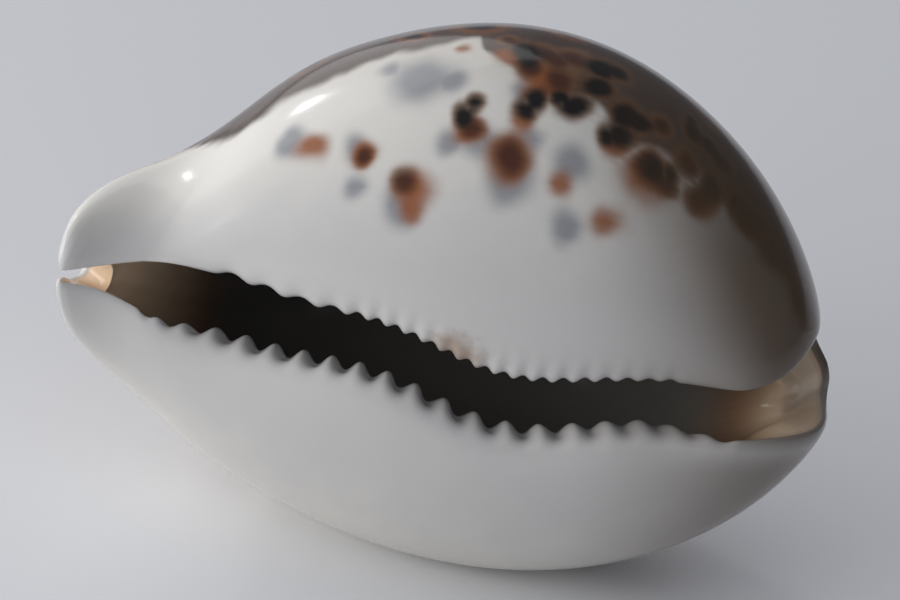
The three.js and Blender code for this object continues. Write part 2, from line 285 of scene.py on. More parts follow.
class Cowrie:
    """The shell's surface: a thick bowl whose mouth is the aperture.

    Columns run round the aperture; rows run from the top of the back over the lip to the hollow's roof.
    """

    BODY_ROWS = (1, 0.9, 0.78, 0.66, 0.54, 0.42, 0.31, 0.21, 0.13)
    LIP_ROWS = ((0.22, 0.02), (-0.04, 0.5), (0.05, 1.0), (0.42, 1.32))
    FIRST_LIP = 8
    LAST_LIP = 12

    def __init__(self, form: Form, detail: Detail):
        self.form = form
        self.detail = detail

    def aperture_line(self, x):
        """Returns the middle line of the aperture, y over x."""
        s, line = x / self.form.half, self.form.line
        wave = np.sin(2 * np.pi * s / line.wave_length) * bell(s, 0, line.wave_spread)
        ends = line.posterior * smooth(-0.1, 1, s) + line.anterior * smooth(0.1, -1, s)
        return line.middle - ends + line.wave * wave

    def half_gap(self, x, side):
        """Returns the half-width of the aperture at x on one side of its line."""
        s, g = x / self.form.half, self.form.gap
        gap = g.middle + g.wide * bell(s, -0.62, 0.26) + np.where(side > 0, g.bulge, 0) * bell(s, 0.3, 0.2)
        gap = mix(gap, g.anterior, smooth(-0.66, -0.96, s))
        return gap - g.narrower * smooth(0.4, 0.95, s)

    @staticmethod
    def fill(end, full, c, power, taper=0.0):
        """Returns a width filling out from its end value to its full value."""
        return end * c + (full - end) * c ** power * (1 + taper)

    def body(self, X, Y, hollow: bool = False) -> np.ndarray:
        """Points of the closed egg, or of its hollow.

        Args:
            X: place along the shell in the map of the unit sphere seen from the top of the back.
            Y: place towards the outer lip in the same map.
            hollow: True for the inner surface.

        Returns:
            Points with a last axis of three.
        """
        f = self.form
        r2 = X * X + Y * Y
        nx, ny, nz = 2 * X / (r2 + 1), 2 * Y / (r2 + 1), (r2 - 1) / (r2 + 1)
        c = np.sqrt(np.maximum(1 - nx * nx, 1e-12))
        x = f.half * nx * np.sqrt(2 - nx * nx)
        s = x / f.half
        outer = ny >= 0
        to_outer = smooth(-0.35, 0.35, ny)

        def end(name: str):
            return mix(getattr(f.anterior, name), getattr(f.posterior, name), 0.5 * (1 + s))

        around, down = ny / c, -nz / c
        keep = smooth(0.4, 1, c)
        middle = self.aperture_line(x) * (1 - keep)
        level = end("level") * (1 - keep)
        neck = f.neck.depth * bell(x, f.neck.at, f.neck.spread)
        taper = f.side_taper * s
        wide = self.fill(end("outer"), f.outer.width, c, end("fill_side"), taper)
        narrow = self.fill(end("inner"), f.columella.width, c, end("fill_side"), taper)
        width = np.where(outer, wide - 0.2 * neck, narrow - 0.6 * neck)
        rise = self.fill(end("rise"), f.back_height, c, end("fill_back"), f.back_taper * s) - neck
        depth = mix(f.columella.depth, f.outer.depth, to_outer)
        drop = self.fill(end("drop"), depth, c, end("fill_base"))
        if hollow:
            canal, wall = f.canal, f.wall
            k = smooth(*canal.ends, c)
            low = np.minimum(canal.floor, canal.floor_share * (rise + drop))
            half_height = 0.5 * (np.minimum(canal.top, canal.top_share * (rise + drop)) - low)
            level = mix(level - drop + low + half_height, level, k)
            width = mix(canal.half_width, width - np.where(outer, wall.outer, wall.columella), k)
            rise = mix(half_height, rise - wall.back, k)
            x = x * (1 - wall.end / f.half)
            drop = mix(half_height, drop - mix(wall.base_columella, wall.base_outer, to_outer), k)
            middle = mix(self.aperture_line(x), middle, k)
        base_curve = mix(f.columella.curve, f.outer.curve, to_outer)
        curve = mix(2 / f.back_curve, 2 / base_curve, smooth(-0.35, 0.35, down))
        y = middle + width * signed_power(around, curve)
        z = level - np.where(down < 0, rise, drop) * signed_power(down, curve)
        front, rear = (n.depth * bell(Y, n.at, n.spread) for n in (f.anterior_notch, f.posterior_notch))
        x = x - np.where(X < 0, -front, rear) * bell(np.abs(X), f.rim_reach, f.notch_length)
        near = smooth(0.45, 1, np.abs(nx))
        lip_end = smooth(0, 0.35, ny)
        posterior = f.columella_short * smooth(0, -0.35, ny) + f.outer_lip_short * lip_end
        x = x - near * np.where(X > 0, posterior, -f.anterior_lip_short * lip_end)
        return np.stack([x, y, z], -1)

    def rim(self, u):
        """Returns the aperture's rim in the map for column angles u, and the side of each column."""
        X = self.form.rim_reach * np.cos(u)
        side = np.where(np.sin(u) >= 0, 1, -1)
        rounded = np.sqrt(np.clip(1 - np.abs(np.cos(u)) ** 14, 0, 1))
        by = self.form.flare
        columella_flare = by.columella * smooth(0.13, 0.66, X) * (1 - 0.4 * smooth(1, 1.4, X))
        posterior_flare = np.where(side > 0, by.outer * smooth(0.45, 1, X), columella_flare)
        anterior_flare = np.where(side > 0, by.anterior_lip, by.anterior) * smooth(0.62, 1, -X)
        flare = np.where(X < 0, anterior_flare, posterior_flare)
        low, high = np.full_like(X, -0.9), np.full_like(X, 0.9)
        for _ in range(30):
            Y = 0.5 * (low + high)
            p = self.body(X, Y)
            wanted = self.aperture_line(p[:, 0]) + side * (self.half_gap(p[:, 0], side) + flare) * rounded
            short = p[:, 1] < wanted
            low, high = np.where(short, Y, low), np.where(short, high, Y)
        return X, 0.5 * (low + high), side

    def angle(self, x):
        """Returns the column angle of a place along the shell."""
        c = (1 - (x / self.form.half) ** 2) ** 0.25
        X = np.sign(x) * np.sqrt((1 - c) / (1 + c))
        return np.arccos(np.clip(X / self.form.rim_reach, -1, 1))

    def columns(self) -> Tuple[np.ndarray, np.ndarray]:
        """Returns the column angles round the aperture, and each column's place along the shell."""
        d = self.detail
        reach = np.linspace(d.toothed_to, -d.toothed_to, d.lip_columns + 1)
        lip = self.angle(reach)
        t = np.linspace(0, 1, d.end_columns + 1)[1:-1]
        eased = mix(t, smooth(0, 1, t), d.crowding)
        anterior = mix(lip[-1], 2 * np.pi - lip[-1], eased)
        posterior = mix(2 * np.pi - lip[0], 2 * np.pi + lip[0], eased)
        none = np.full(d.end_columns - 1, np.nan)
        u = np.concatenate([lip, anterior, 2 * np.pi - lip[::-1], posterior])
        return u, np.concatenate([reach, none, reach[::-1], none])

    def control_rows(self, u) -> np.ndarray:
        """Returns the control points: rows, columns, three."""
        f = self.form
        start = math.exp(-f.rim_margin)
        k = f.rim_reach / math.cosh(f.rim_margin)
        Xr, Yr, side = self.rim(u)

        def ellipse(m):
            return 0.5 * k * (1 / m + m) * np.cos(u), 0.5 * k * (1 / m - m) * np.sin(u)

        X0, Y0 = ellipse(start)

        def row(v: float, hollow: bool) -> np.ndarray:
            if v >= 1:
                return self.body(np.full_like(u, FAR), np.zeros_like(u), hollow)
            m = start * (1 - v)
            X, Y = ellipse(m)
            w = (m / start) ** 4
            return self.body(X + (Xr - X0) * w, Y + (Yr - Y0) * w, hollow)

        edge = self.body(Xr, Yr)
        step = 1e-3
        along_x = self.body(Xr + step, Yr) - self.body(Xr - step, Yr)
        along_y = self.body(Xr, Yr + 2 * step * side) - edge
        inward = unit(np.cross(along_x, along_y) * side[:, None])

        def across(v, n):
            return unit(v - (v * n).sum(-1, keepdims=True) * n)

        def relax(v):
            return 0.25 * np.roll(v, 1, 0) + 0.5 * v + 0.25 * np.roll(v, -1, 0)

        back = across(row(0.15, False) - edge, inward)
        rounds = 2 * max(1, round((self.detail.lip_columns / 100) ** 2))
        for _ in range(rounds):
            inward, back = relax(inward), relax(back)
        inward = unit(inward)
        back = across(back, inward)
        canal = smooth(*f.lip_thin, np.abs(Xr))[:, None]
        radius = mix(*f.lip_radius, smooth(*f.lip_slim, np.abs(Xr))[:, None])
        radii = (radius, radius, mix(*f.inner_radius, canal), mix(*f.inner_radius, canal))
        depth = mix(*f.lip_depth, canal)
        lip = [edge + back * out * r + inward * deep * depth for (out, deep), r in zip(self.LIP_ROWS, radii)]
        outside = [row(v, False) for v in self.BODY_ROWS]
        hollow = [row(v, True) for v in self.BODY_ROWS][::-1]
        return np.array(outside + lip + hollow)

    def smooth_rows(self, control: np.ndarray) -> Tuple[np.ndarray, np.ndarray]:
        """Returns rows through a uniform cubic B-spline along every column, and their row numbers."""
        def mirrored(pole, after):
            return np.concatenate([2 * pole[..., :2] - after[..., :2], after[..., 2:]], -1)

        rows = np.concatenate([mirrored(control[:1], control[1:2]), control,
                               mirrored(control[-1:], control[-2:-1])])
        d = self.detail
        spans = len(rows) - 3
        points, numbers = [], []
        for i in range(spans):
            lip = self.FIRST_LIP <= i <= self.LAST_LIP
            count = d.lip if lip else (d.outside if i < self.FIRST_LIP else d.hollow)
            for t in np.arange(count + (i == spans - 1)) / count:
                weights = (
                    (1 - t) ** 3,
                    3 * t ** 3 - 6 * t * t + 4,
                    -3 * t ** 3 + 3 * t * t + 3 * t + 1,
                    t ** 3,
                )
                points.append(sum(w * rows[i + q] for q, w in enumerate(weights)) / 6)
                numbers.append(i + t)
        return np.array(points), np.array(numbers)

    @staticmethod
    def lip_pitch(x: float) -> float:
        """Returns the distance between teeth of the outer lip."""
        return 2.1 + 1.35 * smooth(-38, -25, x) + 0.5 * smooth(-12, 4, x) - 0.75 * smooth(22, 32, x)

    @staticmethod
    def columella_pitch(x: float) -> float:
        """Returns the distance between teeth of the columella."""
        return 5.1 - 0.9 * smooth(-29, -22, x) - 1.95 * smooth(-18, -9, x) + 0.25 * smooth(8, 18, x)

    @staticmethod
    def places(teeth: Teeth, pitch: Callable[[float], float]) -> np.ndarray:
        """Returns the places of the teeth, marched from the anterior end."""
        places = [teeth.start]
        while places[-1] < teeth.stop:
            places.append(places[-1] + pitch(places[-1] + 0.5 * pitch(places[-1])))
        return np.array(places)

    def grooves(self, u, x, rows) -> Tuple[np.ndarray, np.ndarray]:
        """Returns the tooth turns of each column, and the groove depth of each row and column."""
        f = self.form
        lip = self.places(f.lip_teeth, self.lip_pitch)
        columella = self.places(f.columella_teeth, self.columella_pitch)
        at = np.nan_to_num(x, nan=99.0)
        is_lip = np.sin(u) >= 0
        turns = np.where(is_lip, np.interp(at, lip, np.arange(len(lip))),
                         np.interp(at, columella, np.arange(len(columella))))
        lip_depth = f.lip_teeth.depth * mix(0.35, 1, smooth(-38, -22, at)) * mix(1, 0.35, smooth(6, 30, at))
        columella_depth = f.columella_teeth.depth * smooth(-33, -25, at) * mix(1, 0.5, smooth(16, 25, at))

        def reach(teeth: Teeth) -> np.ndarray:
            return smooth(*teeth.base, rows) * smooth(teeth.inside[1], teeth.inside[0], rows)

        depth = np.where(is_lip, reach(f.lip_teeth)[:, None] * lip_depth,
                         reach(f.columella_teeth)[:, None] * columella_depth)
        return turns, np.where(np.isnan(x), 0, depth)


@dataclass(frozen=True)
class ViewPoint:
    """The camera: its three angles in degrees, distance in metres, focal length in mm, picture shift."""

    elevation: float = 29.53
    yaw: float = 2.02
    roll: float = 12.68
    distance: float = 0.42
    lens: float = 142.6
    shift: Tuple[float, float] = (0.0014, 0.0316)
    sensor: float = 36.0
    picture: Tuple[int, int] = (900, 600)

    def axes(self) -> Matrix:
        """Returns the camera's right, up and back directions in the row frame, one a row."""
        e, w, r = math.radians(self.elevation), math.radians(self.yaw), math.radians(self.roll)
        level = Vector((0, -math.cos(e), math.sin(e)))
        right = Vector((math.cos(w), 0, 0)) + level * math.sin(w)
        back = level * math.cos(w) - Vector((math.sin(w), 0, 0))
        up = Vector((0, math.sin(e), math.cos(e)))
        turned_right = right * math.cos(r) + up * math.sin(r)
        turned_up = up * math.cos(r) - right * math.sin(r)
        return Matrix((turned_right, turned_up, back))

    def seen(self, points: np.ndarray) -> Tuple[np.ndarray, np.ndarray]:
        """Works out where points are seen.

        Args:
            points: places in the shell frame, in millimetres.

        Returns:
            Pixels across and down in the picture, and metres from the camera.
        """
        right, up, back = (resting(points) * MM @ np.array(self.axes()).T).T
        away = self.distance - back
        wide, high = self.picture
        scale = self.lens / self.sensor * wide / away
        across = wide * (0.5 - self.shift[0]) + right * scale
        down = 0.5 * high + wide * self.shift[1] - up * scale
        return np.stack([across, down], -1), away

    def on_surface(self, places: Sequence[Tuple[float, float]], points: np.ndarray,
                   about: float = 6.0, thin: float = 0.005, slack: float = 2.5) -> np.ndarray:
        """Carries places in the picture onto a surface.

        Args:
            places: pixels across and down in the picture.
            points: the surface's points in the shell frame.
            about: how many pixels round a place the side nearer to the camera is looked for.
            thin: how much further off than the nearest point there, in metres, that side may lie.
            slack: how many pixels further away than the closest a point may be seen.

        Returns:
            For each place, the point nearest to the camera of those that are seen close by.
        """
        seen, away = self.seen(points)
        found = []
        for place in places:
            gap = np.linalg.norm(seen - np.array(place), axis=-1)
            near = np.flatnonzero(gap < gap.min() + about)
            near = near[away[near] < away[near].min() + thin]
            near = near[gap[near] < gap[near].min() + slack]
            found.append(points[near[away[near].argmin()]])
        return np.array(found)

    def place(self, target: Vector) -> bpy.types.Object:
        """Adds the camera, looking at the target.

        Args:
            target: the shell frame's origin, in metres.
        """
        axes = self.axes()
        data = bpy.data.cameras.new("Camera")
        data.lens, data.sensor_width = self.lens, self.sensor
        data.shift_x, data.shift_y = self.shift
        data.clip_start, data.clip_end = 0.01, 20
        camera = bpy.data.objects.new("Camera", data)
        turn = axes.transposed().to_4x4()
        camera.matrix_world = Matrix.Translation(target + axes[2] * self.distance) @ turn
        bpy.context.scene.collection.objects.link(camera)
        bpy.context.scene.camera = camera
        return camera


@dataclass(frozen=True)
class Spot:
    """A marking on the back: its place in the shell frame and its radius, in millimetres."""

    mark: Mark
    x: float
    y: float
    z: float
    radius: float


@dataclass(frozen=True)
class Reading:
    """A listed marking: its place in the enlarged picture, and its radius in the picture's pixels."""

    mark: Mark
    across: float
    down: float
    radius: float


@dataclass(frozen=True)
class Enlargement:
    """The enlarged part of the picture: its corner in the picture's pixels, and its zoom."""

    left: float = 280.0
    top: float = 20.0
    zoom: float = 3.0

    def picture(self, reading: Reading) -> Tuple[float, float]:
        """Returns a reading's place in the whole picture."""
        return self.left + reading.across / self.zoom, self.top + reading.down / self.zoom


@dataclass(frozen=True)
class Pattern:
    """The markings of the back.

    The shade's edge is read in the picture, the readings in an enlarged part of it. Both are carried
    onto the shell from a view of their own, so the markings stay in place when the camera moves. A guess
    is where the edge turns up over the beak: along the shell and towards its back, in millimetres.
    """

    seed: int = 7
    scattered: int = 90
    read_from: ViewPoint = ViewPoint(elevation=29.9, yaw=1.99, roll=12.94, lens=143.1, shift=(0.0009, 0.031))
    enlarged: Enlargement = Enlargement()
    pixels_per_mm: float = 8.4
    shade_edge: Tuple[Tuple[float, float], ...] = (
        (197, 151), (208, 149), (222, 142), (245, 127), (265, 111), (287, 96), (320, 80), (355, 66),
        (392, 52), (430, 44), (480, 37), (488, 50), (500, 64), (540, 85), (600, 108), (640, 150),
        (700, 170), (740, 225), (775, 273),
    )
    shade_turns: Tuple[float, float] = (-36.0, 3.5)
    readings: Tuple[Reading, ...] = (
        Reading(Mark.DARK, 570, 270, 11),
        Reading(Mark.DARK, 590, 240, 9),
        Reading(Mark.DARK, 745, 265, 11),
        Reading(Mark.DARK, 790, 225, 12),
        Reading(Mark.DARK, 745, 85, 15),
        Reading(Mark.DARK, 735, 120, 9),
        Reading(Mark.DARK, 905, 255, 15),
        Reading(Mark.DARK, 950, 190, 16),
        Reading(Mark.DARK, 980, 140, 17),
        Reading(Mark.DARK, 1035, 330, 15),
        Reading(Mark.DARK, 1050, 290, 15),
        Reading(Mark.DARK, 1010, 350, 10),
        Reading(Mark.DARK, 1090, 300, 12),
        Reading(Mark.DARK, 1130, 470, 14),
        Reading(Mark.DARK, 1190, 460, 10),
        Reading(Mark.DARK, 1300, 510, 15),
        Reading(Mark.DARK, 1340, 440, 12),
        Reading(Mark.DARK, 1260, 350, 14),
        Reading(Mark.DARK, 1310, 390, 13),
        Reading(Mark.DARK, 1030, 160, 13),
        Reading(Mark.DARK, 1400, 560, 13),
        Reading(Mark.DARK, 1430, 620, 14),
        Reading(Mark.DARK, 860, 230, 9),
        Reading(Mark.DARK, 1250, 310, 9),
        Reading(Mark.BROWN, 375, 490, 13),
        Reading(Mark.BROWN, 700, 410, 17),
        Reading(Mark.BROWN, 240, 385, 9),
        Reading(Mark.BROWN, 580, 320, 11),
        Reading(Mark.BROWN, 1110, 430, 12),
        Reading(Mark.BROWN, 740, 140, 14),
        Reading(Mark.BROWN, 830, 110, 18),
        Reading(Mark.BROWN, 850, 170, 16),
        Reading(Mark.BROWN, 900, 110, 17),
        Reading(Mark.BROWN, 690, 60, 10),
        Reading(Mark.BROWN, 1150, 320, 13),
        Reading(Mark.BROWN, 1230, 430, 13),
        Reading(Mark.BROWN, 1180, 500, 10),
        Reading(Mark.BROWN, 1260, 540, 14),
        Reading(Mark.RUST, 860, 515, 13),
        Reading(Mark.RUST, 1000, 610, 16),
        Reading(Mark.RUST, 400, 500, 19),
        Reading(Mark.RUST, 395, 560, 13),
        Reading(Mark.RUST, 705, 410, 21),
        Reading(Mark.RUST, 245, 400, 13),
        Reading(Mark.RUST, 575, 320, 15),
        Reading(Mark.RUST, 1120, 470, 26),
        Reading(Mark.RUST, 670, 110, 12),
        Reading(Mark.RUST, 800, 170, 20),
        Reading(Mark.RUST, 1030, 370, 14),
        Reading(Mark.RUST, 735, 310, 11),
        Reading(Mark.RUST, 90, 380, 14),
        Reading(Mark.RUST, 1280, 560, 15),
        Reading(Mark.RUST, 560, 80, 8),
        Reading(Mark.HAZE, 420, 180, 30),
        Reading(Mark.HAZE, 330, 140, 12),
        Reading(Mark.HAZE, 500, 190, 16),
        Reading(Mark.HAZE, 740, 200, 14),
        Reading(Mark.HAZE, 600, 360, 17),
        Reading(Mark.HAZE, 520, 360, 13),
        Reading(Mark.HAZE, 710, 500, 20),
        Reading(Mark.HAZE, 890, 610, 15),
        Reading(Mark.HAZE, 900, 430, 17),
        Reading(Mark.HAZE, 355, 570, 16),
        Reading(Mark.HAZE, 215, 510, 12),
        Reading(Mark.HAZE, 210, 380, 12),
        Reading(Mark.HAZE, 40, 340, 13),
        Reading(Mark.HAZE, 20, 370, 13),
        Reading(Mark.HAZE, 780, 350, 12),
    )

    def all_spots(self, outside: np.ndarray) -> List[Spot]:
        """Places the spots read in the picture and scatters others over the back beyond them.

        Args:
            outside: points of the outer surface.

        Returns:
            The placed and the scattered spots.
        """
        rng = np.random.default_rng(self.seed)
        read = [self.enlarged.picture(q) for q in self.readings]
        places = self.read_from.on_surface(read, outside)
        found = [Spot(q.mark, *map(float, place), q.radius / self.pixels_per_mm)
                 for q, place in zip(self.readings, places)]
        taken = [(s.x, s.y, s.z) for s in found]
        free = outside[(outside[:, 2] > -1.5 - 0.12 * outside[:, 1]) & (np.abs(outside[:, 0]) < 37)]
        for i in range(self.scattered):
            tries = free[rng.integers(0, len(free), 24)]
            gaps = np.linalg.norm(tries[:, None] - np.array(taken)[None], axis=-1).min(1)
            p = tries[int(gaps.argmax())]
            taken.append(tuple(p))
            mark = (Mark.DARK, Mark.DARK, Mark.BROWN, Mark.HAZE)[i % 4]
            radius = float(rng.uniform(1.2, 2.5))
            found.append(Spot(mark, *map(float, p), radius))
            if mark is not Mark.HAZE:
                found.append(Spot(Mark.RUST, *map(float, p), radius * 1.35))
        return found

    def fields(self, points: np.ndarray, rows: np.ndarray) -> Dict[Field, np.ndarray]:
        """Returns each marking's strength, 0.5 at a spot's edge, and the masks of painted shade and light,
        for every vertex.

        Args:
            points: vertices in the shell frame.
            rows: the row number of each vertex.
        """
        outside = rows < Cowrie.FIRST_LIP + 0.5
        out = {m.value: np.zeros(len(points)) for m in Mark}
        blurred = points + self.wobble(points)
        surface = points[outside & (rows > 0.2)]
        for spot in self.all_spots(surface):
            gap = np.linalg.norm(blurred - np.array([spot.x, spot.y, spot.z]), axis=-1)
            out[spot.mark.value] = np.maximum(out[spot.mark.value], 0.5 ** ((gap / spot.radius) ** 2))
        x, y, z = points.T
        edge = self.read_from.on_surface(self.shade_edge, surface)[:, [0, 2]]
        edge = np.concatenate([[self.shade_turns], edge])
        edge = edge[edge[:, 0].argsort()]
        far_side = smooth(-6, 16, y)
        above = blurred[:, 2] - np.interp(blurred[:, 0], *edge.T)
        out[Field.SHADE] = smooth(-2.0, 2.0, above) * (1 - far_side)
        # Painted shade: the posterior flank and end are darkened and browned where less light falls.
        flank = smooth(6, 32, x) * smooth(-23, -13, z) * smooth(3, -6, y)
        out[Field.TINT] = np.maximum(flank, smooth(14, 42, x) * smooth(-6, 2, y) * 0.8) * (rows < 12)
        out[Field.STAIN] = bell(x, 0.5, 4.5) * (y < -4) * bell(y, -9, 4.5)
        # Painted light and shade in the canals: the inside turns lighter towards the ends and is brightest
        # at the open tips.
        out[Field.AMBER] = np.maximum(smooth(-25, -31, x), 0.8 * smooth(30, 36, x))
        out[Field.INNERMOST] = np.maximum(smooth(-27, -34, x), smooth(34, 40, x))
        inside = (Field.TINT, Field.AMBER, Field.INNERMOST, Field.STAIN)
        return {k: v if k in inside else v * outside for k, v in out.items()}

    def wobble(self, points: np.ndarray) -> np.ndarray:
        """Returns small smooth shifts, in millimetres, that make the spots' outlines uneven."""
        x, y, z = points.T
        return 0.4 * np.stack([
            np.sin(0.6 * y + 0.8 * z) + 0.35 * np.sin(1.5 * z + 0.5 * x + 1.0),
            np.sin(0.7 * x - 0.5 * z + 2.0) + 0.35 * np.sin(1.6 * x + 0.4 * y),
            np.sin(0.5 * x + 0.8 * y + 4.0) + 0.35 * np.sin(1.3 * x - 1.1 * y + 3.0),
        ], -1)


class NodeBuilder:
    """Adds nodes to a tree and links them."""

    def __init__(self, tree: bpy.types.NodeTree):
        self.tree = tree

    def add(self, kind: str, settings: Dict[str, object] = {}, **inputs: object) -> bpy.types.Node:
        """Adds one node.

        Args:
            kind: the node's type.
            settings: its properties.
            inputs: sockets by name, spaces as underscores, or by number as i0, i1; a socket is linked
                and any other value is set.

        Returns:
            The node.
        """
        node = self.tree.nodes.new(kind)
        for name, value in settings.items():
            setattr(node, name, value)
        for name, value in inputs.items():
            number = name[0] == "i" and name[1:].isdigit()
            socket = node.inputs[int(name[1:]) if number else name.replace("_", " ")]
            if isinstance(value, bpy.types.NodeSocket):
                self.tree.links.new(value, socket)
            else:
                socket.default_value = value
        return node

    def math(self, operation: str, a: object, b: object = 0.0, clamp: bool = False) -> bpy.types.NodeSocket:
        """Returns the result of a math node."""
        node = self.add("ShaderNodeMath", {"operation": operation, "use_clamp": clamp}, i0=a, i1=b)
        return node.outputs[0]


class GrooveTree:
    """Geometry Nodes that sink the grooves between the teeth along the surface's normal."""

    INPUTS = (("Depth", 1.0), ("Roundness", 1.0))

    def __init__(self, material: bpy.types.Material):
        self.tree = bpy.data.node_groups.new("Lip teeth", "GeometryNodeTree")
        face = self.tree.interface
        face.new_socket("Geometry", in_out="INPUT", socket_type="NodeSocketGeometry")
        for name, value in self.INPUTS:
            face.new_socket(name, in_out="INPUT", socket_type="NodeSocketFloat").default_value = value
        face.new_socket("Material", in_out="INPUT", socket_type="NodeSocketMaterial")
        face.new_socket("Geometry", in_out="OUTPUT", socket_type="NodeSocketGeometry")
        self.material = material
        self._build()

    def _build(self) -> None:
        """Adds the nodes."""
        b = NodeBuilder(self.tree)
        start = b.add("NodeGroupInput")
        kind = {"data_type": "FLOAT"}
        turns = b.add("GeometryNodeInputNamedAttribute", kind, Name=Field.TURNS.value).outputs["Attribute"]
        groove = b.add("GeometryNodeInputNamedAttribute", kind, Name=Field.GROOVE.value).outputs["Attribute"]
        wave = b.math("COSINE", b.math("MULTIPLY", turns, 2 * math.pi))
        share = b.math("SUBTRACT", 0.5, b.math("MULTIPLY", wave, 0.5))
        share = b.math("POWER", share, start.outputs["Roundness"])
        depth = b.math("MULTIPLY", b.math("MULTIPLY", share, groove), start.outputs["Depth"])
        normal = b.add("GeometryNodeInputNormal").outputs[0]
        shift = b.add("ShaderNodeVectorMath", {"operation": "SCALE"}, i0=normal,
                      Scale=b.math("MULTIPLY", depth, -1.0))
        moved = b.add("GeometryNodeSetPosition", Geometry=start.outputs["Geometry"], Offset=shift.outputs[0])
        round_faces = b.add("GeometryNodeSetShadeSmooth", Geometry=moved.outputs[0])
        real = b.add("GeometryNodeRealizeInstances", Geometry=round_faces.outputs[0])
        painted = b.add("GeometryNodeSetMaterial", Geometry=real.outputs[0],
                        Material=start.outputs["Material"])
        b.add("NodeGroupOutput", Geometry=painted.outputs[0])

    def apply(self, piece: bpy.types.Object) -> bpy.types.Object:
        """Runs the tree on a piece and leaves a plain mesh.

        Args:
            piece: the object whose mesh carries the tooth fields.

        Returns:
            The same object, with the finished mesh.
        """
        modifier = piece.modifiers.new("Teeth", "NODES")
        modifier.node_group = self.tree
        values = dict(self.INPUTS)
        values["Material"] = self.material
        for item in self.tree.interface.items_tree:
            if item.in_out == "INPUT" and item.name in values:
                modifier[item.identifier] = values[item.name]
        done = piece.evaluated_get(bpy.context.evaluated_depsgraph_get())
        mesh = bpy.data.meshes.new_from_object(done)
        piece.modifiers.remove(modifier)
        piece.data = mesh
        return piece


@dataclass(frozen=True)
class Tone:
    """A colour in linear light."""

    r: float
    g: float
    b: float

    @property
    def rgba(self) -> Tuple[float, float, float, float]:
        """The colour with full alpha."""
        return self.r, self.g, self.b, 1.0


@dataclass(frozen=True)
class Layer:
    """A marking laid over the ground.

    It has the fields whose larger value counts, its colour, how much noise frays it, the two ends of its
    soft step, and its share where it is strongest.
    """

    fields: Tuple[Field, ...]
    tone: Tone
    fray: float
    low: float
    high: float
    share: float


@dataclass(frozen=True)
class EnamelFinish:
    """Colours and gloss of the shell; the markings are laid on in their order."""

    ground: Tone = Tone(0.56, 0.50, 0.42)
    base: Tone = Tone(0.72, 0.695, 0.64)
    callus: Tone = Tone(0.54, 0.53, 0.545)
    markings: Tuple[Layer, ...] = (
        Layer((Field.HAZE,), Tone(0.15, 0.165, 0.20), 0.25, 0.08, 0.95, 0.7),
        Layer((Field.SHADE,), Tone(0.045, 0.017, 0.007), 0.7, 0.2, 0.9, 0.93),
        Layer((Field.DARK, Field.BROWN), Tone(0.30, 0.15, 0.065), 0.2, 0.08, 0.6, 0.75),
        Layer((Field.RUST,), Tone(0.30, 0.095, 0.028), 0.3, 0.12, 0.95, 0.92),
        Layer((Field.BROWN,), Tone(0.060, 0.017, 0.006), 0.3, 0.15, 0.92, 0.95),
        Layer((Field.DARK,), Tone(0.007, 0.004, 0.003), 0.3, 0.12, 0.85, 1.0),
    )
    # Painted shade: the brownish dark laid over the posterior end.
    tint: Tone = Tone(0.095, 0.058, 0.03)
    stain: Tone = Tone(0.30, 0.17, 0.08)
    # Painted light: a bright beige that stands in for light on the canal faces at the ends, where the lamps
    # hardly reach.
    canal: Tone = Tone(0.80, 0.60, 0.40)
    # Amber: partly the shell's own orange-brown, partly painted shade between the lit tips and the dark
    # hollow.
    amber: Tone = Tone(0.34, 0.16, 0.07)
    # Painted shade: the inside of the aperture is coloured dark for the shade within it.
    hollow: Tone = Tone(0.20, 0.19, 0.17)
    roughness: float = 0.16
    coat: float = 0.1
    ior: float = 1.42


